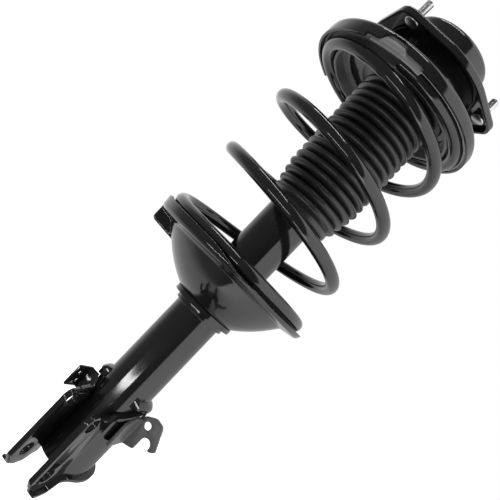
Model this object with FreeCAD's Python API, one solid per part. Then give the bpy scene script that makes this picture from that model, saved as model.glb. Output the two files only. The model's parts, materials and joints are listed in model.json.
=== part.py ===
import FreeCAD, Part
import math
import os

# Complete strut: damper, coil spring, two spring seats, dust boot, top mount with its bearing and
# knuckle bracket.
# Millimetres. +Z runs up the damper rod, and z = 0 is the level of the shoulders of the top mount's studs,
# just above the plate that meets the body.
# The knuckle bracket's ears point along -Y, and the knuckle bolts run along X.

os.makedirs("parts", exist_ok=True)
Vec = FreeCAD.Vector
UP = Vec(0, 0, 1)

# Fits shared by all pieces
press_gap = 0.05
rest_gap = 0.2
running_gap = 0.1

# The top mount and the upper seat lean a little off the rod axis, toward a turn angle
mount_lean = 2.17
lean_toward = 61.3

# Top mount plate: a pressed three-lobed plate with a turned-down edge
plate_r = 70.5
plate_t = 3.0
plate_edge_drop = 9.0
plate_edge_bend = 2.8
lobe_r = 16.0
stud_count = 3
stud_circle_r = 66.5
stud_clock = 9.3
stud_r = 4.0
stud_proud = 20.8
stud_chamfer = 1.0
stud_shank_r = 4.4
stud_shoulder_rise = 0.8
stud_head_r = 7.5
stud_head_t = 3.6

# Top mount housing and the cup under the plate
dome_root_r = 46.3
dome_top_r = 45.0
dome_h = 30.0
dome_bend = 6.0
dome_mouth_r = 20.0
housing_t = 2.5
housing_flange_r = 54.0
lower_cup_r = 55.0
lower_cup_depth = 32.0
lower_cup_bend = 6.0
lower_cup_mouth_r = 41.0
cap_r = 24.0
cap_rise = 3.0
cap_wall = 2.0
cap_plug_depth = 3.5

# Strut bearing
bearing_top = 2.0
bearing_w = 14.0
bearing_bore_r = 8.5
bearing_outer_r = 23.5
ball_count = 7
ball_r = 4.3
groove_r = 4.4
race_land = 4.5
cage_t = 1.6
cage_edge = 1.0
carrier_wall = 3.0
carrier_lip = 2.7
carrier_lip_reach = 2.0

# Damper rod and what is clamped on its stem
rod_r = 10.0
stem_r = bearing_bore_r - press_gap
thread_r = 7.0
rod_top = 18.0
rod_washer_t = 2.5
rod_washer_r = 13.0
rod_nut_h = 11.0
rod_nut_flats = 22.0
rod_key_flats = 6.0
rod_key_depth = 6.0
spacer_r = 15.0
spacer_t = 9.5
bumper_cup_t = 1.8
bumper_cup_r = 25.0
bumper_cup_depth = 12.3

# Upper spring seat: a pressed pan, set off from the rod like the spring
spring_x = -5.2
spring_y = -3.8
seat_t = 2.5
hub_boss_r = 18.0
hub_shelf_r = 30.0
hub_shelf_drop = 8.0
hub_foot_r = 36.0
pan_top = -38.4
pan_over_wire = 6.3
pan_bend = 6.0
skirt_drop = 13.5
tab_window_drop = 10.5
tab_window_from = 266.0
deep_skirt = 4.0
deep_skirt_from = 161.0
deep_skirt_to = 252.0
notch_half = 14.0
notch_crown_half = 9.0
notch_rise = 10.0
notch_foot_bend = 3.0
notch_crown_bend = 8.0

# Upper spring insulator: a rubber channel in the pan
insulator_outer_wall = 2.9
insulator_inner_wall = 3.1
insulator_web = 4.8
insulator_outer_drop = 10.5
insulator_inner_drop = 14.5
insulator_tab_drop = 14.3
insulator_tab_from = 255.0
insulator_tab_to = 290.5
insulator_flange_reach = 7.5
insulator_flange_t = 2.2
insulator_bump = 2.0

# Coil spring, left-hand wound: it falls as the turn angle grows
wire_r = 6.5
coil_r = 80.5
coil_pitch = 68.8
foot_pitch = 19.8
coil_top_angle = -84.0
rise_from = 138.8
rise_to = 259.9
foot_from = 1279.0
foot_to = 1333.0
coil_end_angle = 1636.0
wire_span = 90.0
lean_fades_at = 920.0

# Dust boot
boot_trough_r = 37.3
boot_crest_r = 43.3
boot_wall = 1.4
boot_pitch = 9.03
boot_ribs = 16
boot_neck = 3.1
boot_flange_r = 50.0
boot_flange_t = 2.2
boot_top_x = 1.1
boot_top_y = 0.4
boot_end_x = 3.7
boot_end_y = 1.3
boot_end_shrink = 5.0
boot_shrink_ribs = 3
cuff_r = 33.6
cuff_h = 7.2

# Jounce bumper
bumper_bore_r = 10.5
bumper_r = 22.9
bumper_bottom = -66.6

# Damper tube and what it holds
tube_r = 25.0
tube_wall = 2.5
tube_top = -171.6
tube_bottom = -516.6
cap_sheet = 2.0
cap_skirt = 14.0
seal_h = 6.0
guide_h = 20.0
guide_spigot = 7.0
bush_wall = 1.4
bush_h = 16.0
cylinder_bore_r = 16.0
cylinder_wall = 1.5
cylinder_bottom = -498.6
foot_valve_h = 13.5
foot_valve_spigot = 8.0
foot_port_r = 1.6
foot_port_count = 6
base_cup_t = 3.0
base_cup_h = 8.0
rebound_stop_r = 14.5
rebound_stop_h = 6.0
rebound_cushion_h = 2.6
piston_top = -285.6
piston_h = 18.0
piston_r = 15.4
piston_ring_h = 12.0
piston_port_r = 1.5
piston_stem_r = 6.0
piston_nut_flats = 17.0
piston_nut_h = 8.0
shim_t = 0.5
shim_count = 3
shim_r = 12.0

# Lower spring seat: a bowl on the tube with a ramped channel and a rim of changing height
bowl_t = 2.6
bowl_bottom = -319.8
bowl_floor_r = 33.0
flank_bend = 130.0
flank_inside_coil = 5.5
flank_shoulder_drop = 4.1
channel_inside_rim = 3.4
channel_rise = 2.5
rim_foot_inside = 0.7
rim_foot_rise = 5.7
rim_over_wire = 4.9
rim_high = -264.6
rim_slope_end = -269.1
rim_low = -276.6
rim_station = 7.5
pad_t = 2.3
pad_inner_r = 76.5
pad_outer_r = 86.2
collar_ring_r = 34.0
collar_ring_h = 4.8
collar_sleeve_r = 28.0
collar_sleeve_h = 10.0

# Knuckle bracket: one pressed sheet round the tube with two ears
bracket_t = 2.8
stiffener_t = 2.3
ear_gap = 26.6
ear_front = -58.5
ear_bend_r = 8.0
bracket_top = -430.6
lip_r = 32.0
lip_top = -421.6
lip_h = 11.0
lip_front = -16.0
bolt_r = 7.5
upper_bolt_y = -48.0
upper_bolt_z = -458.6
ear_crown = 10.5
ear_corner_r = 9.0
lower_bolt_y = -44.8
lower_bolt_z = -516.6
hem_reach = 5.6
hem_t = 3.0
top_hem_reach = 3.8
top_hem_gap = 1.5

# Brake hose bracket on the right flank
hose_t = 3.3
hose_flange_front = -17.0
hose_flange_dip = 8.0
hose_plate_back = 7.3
hose_flange_top = -437.1
hose_flange_bottom = -471.6
hose_fold_bottom = -467.2
hose_top = -426.1
hose_tip_x = 62.3
hose_tip_z = -449.1
hose_slot_x = 49.2
hose_slot_z = -450.9
hose_slot_r = 5.8
hose_corner_z = -462.4
hose_hole_x = 39.3
hose_hole_z = -437.6
hose_hole_r = 4.0

# Sensor wire bracket on the left flank
wire_t = 2.0
wire_plate_x = -37.2
wire_front = -35.0
wire_back = -10.0
wire_top = -436.1
wire_bottom = -459.6
wire_hole_r = 2.6
wire_hole_high = -444.1
wire_hole_low = -453.1

# Sizes that follow from the ones above
ear_inner_x = ear_gap / 2
ear_sheet_x = ear_inner_x + stiffener_t
ear_outer_x = ear_sheet_x + bracket_t
wrap_in_r = tube_r + press_gap
wrap_out_r = wrap_in_r + bracket_t
bearing_bottom = bearing_top - bearing_w
bearing_mid = bearing_top - bearing_w / 2
ball_circle_r = (bearing_bore_r + bearing_outer_r) / 2
hub_under = bearing_bottom - seat_t
cup_top = hub_under - spacer_t
rod_shoulder = cup_top - bumper_cup_t
pan_r = coil_r + wire_r + pan_over_wire
pan_under = pan_top - seat_t
skirt_bottom = pan_top - skirt_drop
insulator_top = pan_under - rest_gap
web_under = insulator_top - insulator_web
coil_top_z = web_under - rest_gap - wire_r
insulator_out_r = pan_r - seat_t - rest_gap
insulator_in_r = coil_r - wire_r - 1.4 - insulator_inner_wall
boot_flange_top = pan_under - rest_gap
boot_first_rib = boot_flange_top - boot_neck
boot_last_rib = boot_first_rib - boot_ribs * boot_pitch
boot_bottom = boot_last_rib - cuff_h
rim_r = coil_r + wire_r + rim_over_wire
rim_foot_r = rim_r - rim_foot_inside
channel_corner_r = rim_r - channel_inside_rim
flank_shoulder_r = coil_r - flank_inside_coil
tube_in_r = tube_r - tube_wall
guide_top = tube_top - 1.0 - seal_h
guide_bottom = guide_top - guide_h
stop_top = guide_bottom - guide_spigot - rest_gap - rebound_cushion_h
piston_bottom = piston_top - piston_h
SPRING = Vec(spring_x, spring_y, 0)
ROD = Vec(0, 0, 0)


def polar(radius, degrees, z=0.0, centre=ROD):
    """Point at a radius and turn angle about a vertical axis through centre."""
    turn = math.radians(degrees)
    return Vec(centre.x + radius * math.cos(turn), centre.y + radius * math.sin(turn), z)


def rounded_wire(corners, place):
    """Closed wire through corners (u, v) or (u, v, bend radius); place maps u, v to a point."""
    spots = []
    count = len(corners)
    for i in range(count):
        here = Vec(corners[i][0], corners[i][1], 0)
        bend = corners[i][2] if len(corners[i]) > 2 else 0.0
        if not bend:
            spots.append((here, None, here))
            continue
        before = Vec(corners[i - 1][0], corners[i - 1][1], 0) - here
        after = Vec(corners[(i + 1) % count][0], corners[(i + 1) % count][1], 0) - here
        before.normalize()
        after.normalize()
        half = before.getAngle(after) / 2
        reach = bend / math.tan(half)
        middle = (before + after).normalize()
        crown = here + middle * (bend / math.sin(half) - bend)
        spots.append((here + before * reach, crown, here + after * reach))
    edges = []
    for i in range(count):
        start, crown, end = spots[i]
        if crown is not None:
            edges.append(Part.Arc(place(start), place(crown), place(end)).toShape())
        following = spots[(i + 1) % count][0]
        if (following - end).Length > 1e-6:
            edges.append(Part.LineSegment(place(end), place(following)).toShape())
    return Part.Wire(edges)


def spin(corners, centre=ROD, start=0.0, turn=360.0):
    """Solid of revolution of a radius and height outline about a vertical axis through centre."""
    face = Part.Face(rounded_wire(corners, lambda p: Vec(centre.x + p.x, centre.y, p.y)))
    solid = face.revolve(centre, UP, turn)
    if start:
        solid.rotate(centre, UP, start)
    return solid


def ring(r_in, r_out, low, high, centre=ROD):
    """Plain ring between two radii and two heights."""
    outer = Part.makeCylinder(r_out, high - low, Vec(centre.x, centre.y, low))
    return outer.cut(Part.makeCylinder(r_in, high - low, Vec(centre.x, centre.y, low)))


def disc(radius, low, high, centre=ROD):
    """Plain disc or rod between two heights."""
    return Part.makeCylinder(radius, high - low, Vec(centre.x, centre.y, low))


def slab_x(corners, low, high):
    """Plate with a Y and Z outline between two X values."""
    face = Part.Face(rounded_wire(corners, lambda p: Vec(low, p.x, p.y)))
    return face.extrude(Vec(high - low, 0, 0))


def slab_y(corners, low, high):
    """Plate with an X and Z outline between two Y values."""
    face = Part.Face(rounded_wire(corners, lambda p: Vec(p.x, low, p.y)))
    return face.extrude(Vec(0, high - low, 0))


def hex_prism(flats, low, high):
    """Hexagonal prism on the rod axis, given its size across flats."""
    corner_r = flats / math.sqrt(3)
    points = [polar(corner_r, 60 * i, low) for i in range(6)]
    return Part.Face(Part.makePolygon(points + points[:1])).extrude(Vec(0, 0, high - low))


def hex_nut(flats, bore_r, low, high):
    """Hexagonal nut with chamfered corners."""
    corner_r = flats / math.sqrt(3)
    chamfer = corner_r - flats / 2
    blank = spin([(bore_r, low), (flats / 2, low), (corner_r, low + chamfer), (corner_r, high - chamfer),
                  (flats / 2, high), (bore_r, high)])
    return blank.common(hex_prism(flats, low, high))


def bolt_hole(radius, y, z, reach):
    """Cutter along X for a hole through both ears."""
    return Part.makeCylinder(radius, 2 * reach, Vec(-reach, y, z), Vec(1, 0, 0))


def lean(shape, height=0.0):
    """The shape turned by the mount's lean about a point of the rod axis."""
    turned = shape.copy()
    turned.rotate(Vec(0, 0, height), polar(1.0, lean_toward + 90), mount_lean)
    return turned


def lean_height(point):
    """Height that the lean adds or takes at a point beside the rod axis."""
    return -math.tan(math.radians(mount_lean)) * point.dot(polar(1.0, lean_toward))


def export(name, shape):
    """Write one node."""
    shape.exportStep("parts/" + name + ".step")
    print(name, "solids", len(shape.Solids), "valid", shape.isValid(), "volume", round(shape.Volume))


# Top mount

def stud_angles():
    """Turn angles of the mounting studs."""
    return [stud_clock + 360 * i / stud_count for i in range(stud_count)]


def lobed_wire(inset, z):
    """Outline of the mount plate, drawn in by inset: a circle and three lobes, joined by tangents."""
    body_r = plate_r - inset
    tip_r = lobe_r - inset
    swing = math.degrees(math.acos((body_r - tip_r) / stud_circle_r))
    edges = []
    angles = stud_angles()
    for i, angle in enumerate(angles):
        following = angles[(i + 1) % stud_count] + (360 if i == stud_count - 1 else 0)
        lobe = polar(stud_circle_r, angle, z)
        lobe_start = lobe + polar(tip_r, angle - swing)
        lobe_end = lobe + polar(tip_r, angle + swing)
        body_start = polar(body_r, angle + swing, z)
        body_end = polar(body_r, following - swing, z)
        next_lobe = polar(stud_circle_r, following, z) + polar(tip_r, following - swing)
        edges.append(Part.Arc(lobe_start, polar(stud_circle_r + tip_r, angle, z), lobe_end).toShape())
        edges.append(Part.LineSegment(lobe_end, body_start).toShape())
        edges.append(Part.Arc(body_start, polar(body_r, (angle + following) / 2, z), body_end).toShape())
        edges.append(Part.LineSegment(body_end, next_lobe).toShape())
    return Part.Wire(edges)


def mount_plate():
    """Pressed plate with a rounded top edge, a turned-down rim and the dome hole."""
    outline = Part.Face(lobed_wire(0.0, -plate_edge_drop))
    blank = outline.extrude(Vec(0, 0, plate_edge_drop - stud_shoulder_rise))
    rim = [edge for edge in blank.Edges if edge.BoundBox.ZMin > -stud_shoulder_rise - 0.01]
    blank = blank.makeFillet(plate_edge_bend, rim)
    hollow = Part.Face(lobed_wire(plate_t, -plate_edge_drop)).extrude(Vec(0, 0, plate_edge_drop - plate_t))
    plate = blank.cut(hollow).cut(disc(dome_root_r + press_gap, -plate_edge_drop, 1.0))
    hole_r = stud_shank_r + press_gap
    for angle in stud_angles():
        plate = plate.cut(disc(hole_r, -plate_edge_drop, 1.0, polar(stud_circle_r, angle)))
    return lean(plate)


def mount_studs():
    """Three studs pressed up through the plate, with domed heads below it."""
    studs = []
    for angle in stud_angles():
        place = polar(stud_circle_r, angle)
        head_low = -plate_t - stud_head_t
        studs.append(spin([(0, stud_proud), (stud_r - stud_chamfer, stud_proud),
                           (stud_r, stud_proud - stud_chamfer), (stud_r, 0), (stud_shank_r, 0),
                           (stud_shank_r, -plate_t),
                           (stud_head_r, -plate_t), (stud_head_r, head_low, stud_head_t / 2),
                           (0, head_low)], place))
    return lean(Part.Compound(studs))


def mount_housing():
    """Drawn dome whose flange is welded under the plate."""
    flange_low = -plate_t - housing_t
    dome = spin([(housing_flange_r, flange_low), (housing_flange_r, -plate_t), (dome_root_r, -plate_t),
                 (dome_top_r, dome_h, dome_bend), (dome_mouth_r, dome_h),
                 (dome_mouth_r, dome_h - housing_t),
                 (dome_top_r - housing_t, dome_h - housing_t, dome_bend - housing_t),
                 (dome_root_r - housing_t, flange_low)])
    return lean(dome)


def mount_lower_cup():
    """Drawn cup under the plate that holds the rubber from below."""
    high = -plate_t - housing_t
    in_r = lower_cup_r - housing_t
    cup = spin([(lower_cup_r, high), (lower_cup_r, -lower_cup_depth, lower_cup_bend),
                (lower_cup_mouth_r, -lower_cup_depth), (lower_cup_mouth_r, housing_t - lower_cup_depth),
                (in_r, housing_t - lower_cup_depth, lower_cup_bend - housing_t), (in_r, high)])
    return lean(cup)


def mount_rubber():
    """Rubber between the bearing carrier and the two drawn cups, bored along the rod axis."""
    bore_r = bearing_outer_r + press_gap + carrier_wall + press_gap
    core_r = bore_r - 5
    flange_low = -plate_t - housing_t - press_gap
    dome_in_r = dome_top_r - housing_t - press_gap
    floor = housing_t - lower_cup_depth + press_gap
    cup_in_r = lower_cup_r - housing_t - press_gap
    shelf = bearing_bottom - hub_shelf_drop
    body = spin([(core_r, bearing_top + 2), (bore_r + 2, bearing_top + 2), (bore_r + 8, dome_h / 2, 3),
                 (dome_in_r, dome_h / 2, 2), (dome_in_r, flange_low), (cup_in_r, flange_low),
                 (cup_in_r, floor, lower_cup_bend), (lower_cup_mouth_r + 1, floor),
                 (bore_r + 10, shelf + 2.5), (bore_r + 2, bearing_bottom - 3),
                 (core_r, bearing_bottom - 3)])
    return lean(body).cut(disc(bore_r, shelf - 10, dome_h))


def bearing_carrier():
    """Steel sleeve round the bearing, lipped over both faces of the outer race."""
    in_r = bearing_outer_r + press_gap
    out_r = in_r + carrier_wall
    low = bearing_bottom - press_gap
    high = bearing_top + press_gap
    lip_r_in = bearing_outer_r - carrier_lip_reach
    return spin([(lip_r_in, low - carrier_lip), (out_r, low - carrier_lip, 1.5),
                 (out_r, high + carrier_lip, 1.5), (lip_r_in, high + carrier_lip), (lip_r_in, high),
                 (in_r, high), (in_r, low), (lip_r_in, low)])


def race_groove():
    """Cutter for the ball groove of both races."""
    return Part.makeTorus(ball_circle_r, groove_r, Vec(0, 0, bearing_mid))


def bearing_inner_race():
    blank = ring(bearing_bore_r, bearing_bore_r + race_land, bearing_bottom, bearing_top)
    return blank.cut(race_groove())


def bearing_outer_race():
    blank = ring(bearing_outer_r - race_land, bearing_outer_r, bearing_bottom, bearing_top)
    return blank.cut(race_groove())


def ball_places():
    """Centres of the bearing balls."""
    return [polar(ball_circle_r, 360 * i / ball_count, bearing_mid) for i in range(ball_count)]


def bearing_balls():
    return Part.Compound([Part.makeSphere(ball_r, place) for place in ball_places()])


def bearing_cage():
    """Thin ring with a round pocket for each ball."""
    cage = ring(ball_circle_r - cage_t / 2, ball_circle_r + cage_t / 2, bearing_bottom + cage_edge,
                bearing_top - cage_edge)
    for place in ball_places():
        outward = Vec(place.x, place.y, 0).normalize()
        start = place - outward * (ball_r / 2)
        cage = cage.cut(Part.makeCylinder(ball_r + 2 * running_gap, ball_r, start, outward))
    return cage


def dust_cap():
    """Rubber plug that closes the mouth of the dome."""
    low = dome_h + press_gap
    plug_r = dome_mouth_r - press_gap
    cap = spin([(0, low + cap_rise), (cap_r - 2, low + cap_rise, 4), (cap_r, low), (plug_r, low),
                (plug_r, low - cap_plug_depth), (plug_r - cap_wall, low - cap_plug_depth),
                (plug_r - cap_wall, low), (0, low)])
    return lean(cap)


# Pieces on the rod's stem

def piston_rod():
    """Ground rod with a bearing stem and thread above and a piston stem below."""
    stem_low = piston_bottom - 2 * shim_count * shim_t - piston_nut_h - 2
    above = piston_top + shim_count * shim_t
    rod = spin([(0, rod_top), (thread_r - 1, rod_top), (thread_r, rod_top - 1), (thread_r, bearing_top),
                (stem_r, bearing_top), (stem_r, rod_shoulder), (rod_r, rod_shoulder), (rod_r, above),
                (piston_stem_r, above), (piston_stem_r, stem_low + 1), (piston_stem_r - 1, stem_low),
                (0, stem_low)])
    return rod.cut(hex_prism(rod_key_flats, rod_top - rod_key_depth, rod_top))


def rod_washer():
    return ring(thread_r + rest_gap, rod_washer_r, bearing_top, bearing_top + rod_washer_t)


def rod_nut():
    low = bearing_top + rod_washer_t
    return hex_nut(rod_nut_flats, thread_r + press_gap, low, low + rod_nut_h)


def support_spacer():
    return ring(bearing_bore_r, spacer_r, cup_top, hub_under)


def bumper_cup():
    """Pressed cup that holds the top of the jounce bumper."""
    in_r = bumper_cup_r - bumper_cup_t
    low = cup_top - bumper_cup_depth
    return spin([(bearing_bore_r, cup_top), (bumper_cup_r, cup_top, 2.5), (bumper_cup_r, low), (in_r, low),
                 (in_r, rod_shoulder), (bearing_bore_r, rod_shoulder)])


def jounce_bumper():
    """Foam bumper with two waists, narrowing downwards."""
    top = rod_shoulder - rest_gap
    length = top - bumper_bottom
    return spin([(bumper_bore_r, top), (bumper_r, top, 1.5), (bumper_r, top - 0.28 * length, 2),
                 (bumper_r - 4, top - 0.36 * length, 1.5), (bumper_r - 1, top - 0.46 * length, 3),
                 (bumper_r - 1, top - 0.58 * length, 3), (bumper_r - 5.5, top - 0.68 * length, 1.5),
                 (bumper_r - 3.5, top - 0.8 * length, 3), (bumper_r - 6, bumper_bottom, 3),
                 (bumper_bore_r, bumper_bottom)])


# Upper spring seat and insulator

def skirt_cut(start, end, low):
    """Cutter that shortens the pan's skirt up to a height between two turn angles."""
    floor = skirt_bottom - deep_skirt - 1
    in_r = pan_r - 2 * seat_t
    out_r = pan_r + 1
    return spin([(in_r, floor), (out_r, floor), (out_r, low), (in_r, low)], SPRING, start, end - start)


def notch_cutter(shrink, back, front):
    """Low arch with flared feet that runs through the skirt's near side."""
    foot = notch_half - shrink
    crown = notch_crown_half - shrink
    top = skirt_bottom + notch_rise - shrink
    wing = foot + 2 * notch_foot_bend
    floor = skirt_bottom - 2 * deep_skirt
    corners = [(-wing, floor), (-wing, skirt_bottom), (-foot, skirt_bottom, notch_foot_bend),
               (-crown, top, notch_crown_bend), (crown, top, notch_crown_bend),
               (foot, skirt_bottom, notch_foot_bend), (wing, skirt_bottom), (wing, floor)]
    arch = slab_y(corners, back, front)
    arch.translate(SPRING)
    return arch


def seat_hub():
    """Boss along the rod axis and the leaning shelf that joins it to the pan."""
    shelf = bearing_bottom - hub_shelf_drop
    foot_in_r = hub_foot_r - seat_t
    shelf_in_r = hub_boss_r - 0.6 * seat_t
    boss_in_r = hub_boss_r - seat_t
    boss = spin([(bearing_bore_r, bearing_bottom), (hub_boss_r, bearing_bottom, 1.5),
                 (hub_boss_r, shelf - 2), (boss_in_r, shelf - 2), (boss_in_r, hub_under),
                 (bearing_bore_r, hub_under)])
    shelf_under = shelf - seat_t
    cone = spin([(shelf_in_r, shelf), (hub_shelf_r, shelf, 2), (hub_foot_r, pan_top),
                 (foot_in_r + 0.5, pan_under), (foot_in_r, pan_under),
                 (hub_shelf_r - seat_t, shelf_under, 2), (shelf_in_r, shelf_under)])
    return lean(cone, pan_top).fuse(boss)


def upper_spring_seat():
    """Pressed pan on the spring axis, with a hub on the rod axis and a notch in its skirt."""
    skirt_low = skirt_bottom - deep_skirt
    pan = spin([(0, pan_top), (pan_r, pan_top, pan_bend), (pan_r, skirt_low), (pan_r - seat_t, skirt_low),
                (pan_r - seat_t, pan_under, pan_bend - seat_t), (0, pan_under)], SPRING)
    pan = pan.cut(skirt_cut(deep_skirt_to, 360 + deep_skirt_from, skirt_bottom))
    pan = pan.cut(skirt_cut(tab_window_from, insulator_tab_to, pan_top - tab_window_drop))
    pan = pan.cut(notch_cutter(0.0, -pan_r - 1, -pan_r + 4 * seat_t))
    pan = pan.cut(disc(hub_foot_r - seat_t, pan_under - 1, pan_top + 1))
    return lean(pan, pan_top).fuse(seat_hub()).removeSplitter()


def upper_spring_insulator():
    """Rubber channel over the spring's top turn, with a deeper tab that fills the notch."""
    out_r = insulator_out_r
    wall_in_r = out_r - insulator_outer_wall
    in_r = insulator_in_r
    inner_wall_r = in_r + insulator_inner_wall
    outer_low = insulator_top - insulator_outer_drop
    inner_low = insulator_top - insulator_inner_drop
    tab_low = insulator_top - insulator_tab_drop
    flange_low = insulator_top - insulator_flange_t
    flange_in_r = in_r - insulator_flange_reach
    body = spin([(flange_in_r, insulator_top), (out_r, insulator_top, pan_bend - seat_t), (out_r, tab_low),
                 (wall_in_r, tab_low), (wall_in_r, web_under), (inner_wall_r, web_under),
                 (inner_wall_r, inner_low), (in_r, inner_low), (in_r, flange_low),
                 (flange_in_r, flange_low)], SPRING)
    spare = spin([(wall_in_r - 1, tab_low - 1), (out_r + 1, tab_low - 1), (out_r + 1, outer_low),
                  (wall_in_r - 1, outer_low)], SPRING, insulator_tab_to,
                 360 + insulator_tab_from - insulator_tab_to)
    shell = ring(out_r - 1, out_r + insulator_bump, tab_low, insulator_top - pan_bend, SPRING)
    bump = notch_cutter(2 * rest_gap, -out_r - 2 * insulator_bump, 2 * insulator_bump - out_r).common(shell)
    bump = bump.cut(disc(pan_r + 1, tab_low - 9, skirt_bottom, SPRING))
    return lean(body.cut(spare).fuse(bump).removeSplitter(), pan_top)


# Coil spring

def wire_height(angle):
    """Height of the wire's centre at a turn angle."""
    leads = [(coil_top_angle, 0.0), (rise_from, 0.0), (rise_to, coil_pitch), (foot_from, coil_pitch),
             (foot_to, foot_pitch), (coil_end_angle + 360, foot_pitch)]
    fall = 0.0
    for (a0, p0), (a1, p1) in zip(leads, leads[1:]):
        span = min(max(angle - a0, 0.0), a1 - a0)
        lead_here = p0 + (p1 - p0) * span / (a1 - a0)
        fall += (p0 + lead_here) / 2 * span / 360
    leaning = min(max((lean_fades_at - angle) / (lean_fades_at - rise_from), 0.0), 1.0)
    return coil_top_z - fall + leaning * lean_height(polar(coil_r, angle, 0, SPRING))


def wire_point(angle):
    return polar(coil_r, angle, wire_height(angle), SPRING)


def wire_direction(angle):
    return (wire_point(angle + 0.05) - wire_point(angle - 0.05)).normalize()


def tangent_arc(start, direction, end):
    """Arc that leaves start along direction and ends at end."""
    chord = end - start
    lift = direction.getAngle(chord)
    side = (direction - chord * (direction.dot(chord) / chord.dot(chord))).normalize()
    crown = start + chord * 0.5 + side * (chord.Length / 2 * math.tan(lift / 2))
    return Part.Arc(start, crown, end).toShape()


def coil_path():
    """Two tangent arcs for each quarter turn."""
    spans = math.ceil((coil_end_angle - coil_top_angle) / wire_span)
    edges = []
    for i in range(spans):
        here = coil_top_angle + (coil_end_angle - coil_top_angle) * i / spans
        there = coil_top_angle + (coil_end_angle - coil_top_angle) * (i + 1) / spans
        p0, p1 = wire_point(here), wire_point(there)
        t0, t1 = wire_direction(here), wire_direction(there)
        gap = p1 - p0
        both = t0 + t1
        a = 2 * (t0.dot(t1) - 1)
        b = -2 * gap.dot(both)
        c = gap.dot(gap)
        reach = (-b - math.sqrt(b * b - 4 * a * c)) / (2 * a)
        middle = (p0 + t0 * reach + p1 - t1 * reach) * 0.5
        edges.append(tangent_arc(p0, t0, middle))
        edges.append(tangent_arc(middle, (p1 - t1 * reach - middle).normalize(), p1))
    return Part.Wire(edges)


def coil_gap(path):
    """Least gap of the wire to itself, measured on points of the path."""
    count = 400
    points = path.discretize(count)
    near = int(count * 180 / (coil_end_angle - coil_top_angle))
    return min((points[i] - points[j]).Length for i in range(count)
               for j in range(i + near, count)) - 2 * wire_r


def coil_spring():
    path = coil_path()
    print("coil gap to itself", round(coil_gap(path), 1), "mm")
    circle = Part.Wire(Part.makeCircle(wire_r, wire_point(coil_top_angle), wire_direction(coil_top_angle)))
    return path.makePipeShell([circle], True, False)


# Dust boot

def boot_circle(radius, z):
    """Circle of the boot at a height, on the boot's slightly leaning axis."""
    share = (boot_flange_top - z) / (boot_flange_top - boot_bottom)
    x = boot_top_x + (boot_end_x - boot_top_x) * share
    y = boot_top_y + (boot_end_y - boot_top_y) * share
    return Part.Wire(Part.makeCircle(radius, Vec(x, y, z), UP))


def boot_skin(inset, top, bottom):
    """Ribbed solid of the boot, drawn in by inset."""
    circles = [boot_circle(boot_trough_r - inset, top)]
    for i in range(boot_ribs):
        low_ribs = max(0, i - (boot_ribs - 1 - boot_shrink_ribs)) / boot_shrink_ribs
        shrink = boot_end_shrink * low_ribs
        rib_top = boot_first_rib - i * boot_pitch
        crest = boot_crest_r - shrink - inset
        trough = boot_trough_r - shrink * 0.6 - inset
        circles.append(boot_circle(trough, rib_top - 0.08 * boot_pitch))
        circles.append(boot_circle(crest, rib_top - 0.38 * boot_pitch))
        circles.append(boot_circle(crest, rib_top - 0.62 * boot_pitch))
        circles.append(boot_circle(trough, rib_top - 0.92 * boot_pitch))
    circles.append(boot_circle(cuff_r - inset, boot_last_rib))
    circles.append(boot_circle(cuff_r - inset, bottom))
    return Part.makeLoft(circles, True, True)


def dust_boot():
    """Bellows with a leaning flat flange under the upper seat and an open cuff below."""
    flange = lean(disc(boot_flange_r, boot_flange_top - boot_flange_t, boot_flange_top), pan_top)
    above = lean(disc(2 * boot_flange_r, boot_flange_top, boot_flange_top + 20), pan_top)
    skin = boot_skin(0.0, boot_flange_top + 2, boot_bottom).cut(above).fuse(flange)
    return skin.cut(boot_skin(boot_wall, boot_flange_top + 4, boot_bottom - 1))


# Damper tube and its inner parts

def reservoir_tube():
    return ring(tube_in_r, tube_r, tube_bottom, tube_top)


def tube_cap():
    """Pressed cap on the tube's top that meets the bumper."""
    in_r = tube_r + press_gap
    out_r = in_r + cap_sheet
    high = tube_top + cap_sheet
    hole_r = rod_r + 1.0
    return spin([(hole_r, high), (out_r, high, 2.5), (out_r, high - cap_skirt), (in_r, high - cap_skirt),
                 (in_r, tube_top), (hole_r, tube_top)])


def rod_seal():
    return ring(rod_r + press_gap, tube_in_r - press_gap, guide_top, guide_top + seal_h)


def rod_guide():
    """Guide in the tube's mouth with a spigot in the pressure cylinder."""
    bore_r = rod_r + bush_wall + 2 * press_gap
    spigot_r = cylinder_bore_r - press_gap
    out_r = tube_in_r - press_gap
    return spin([(bore_r, guide_top), (out_r, guide_top), (out_r, guide_bottom), (spigot_r, guide_bottom),
                 (spigot_r, guide_bottom - guide_spigot), (bore_r, guide_bottom - guide_spigot)])


def guide_bush():
    low = guide_top - 2 - bush_h
    return ring(rod_r + press_gap, rod_r + press_gap + bush_wall, low, low + bush_h)


def inner_cylinder():
    return ring(cylinder_bore_r, cylinder_bore_r + cylinder_wall, cylinder_bottom, guide_bottom)


def port_ring(count, port_r, circle_r, low, high):
    """Cutter for a ring of small vertical ports."""
    return Part.Compound([disc(port_r, low, high, polar(circle_r, 360 * i / count)) for i in range(count)])


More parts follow.
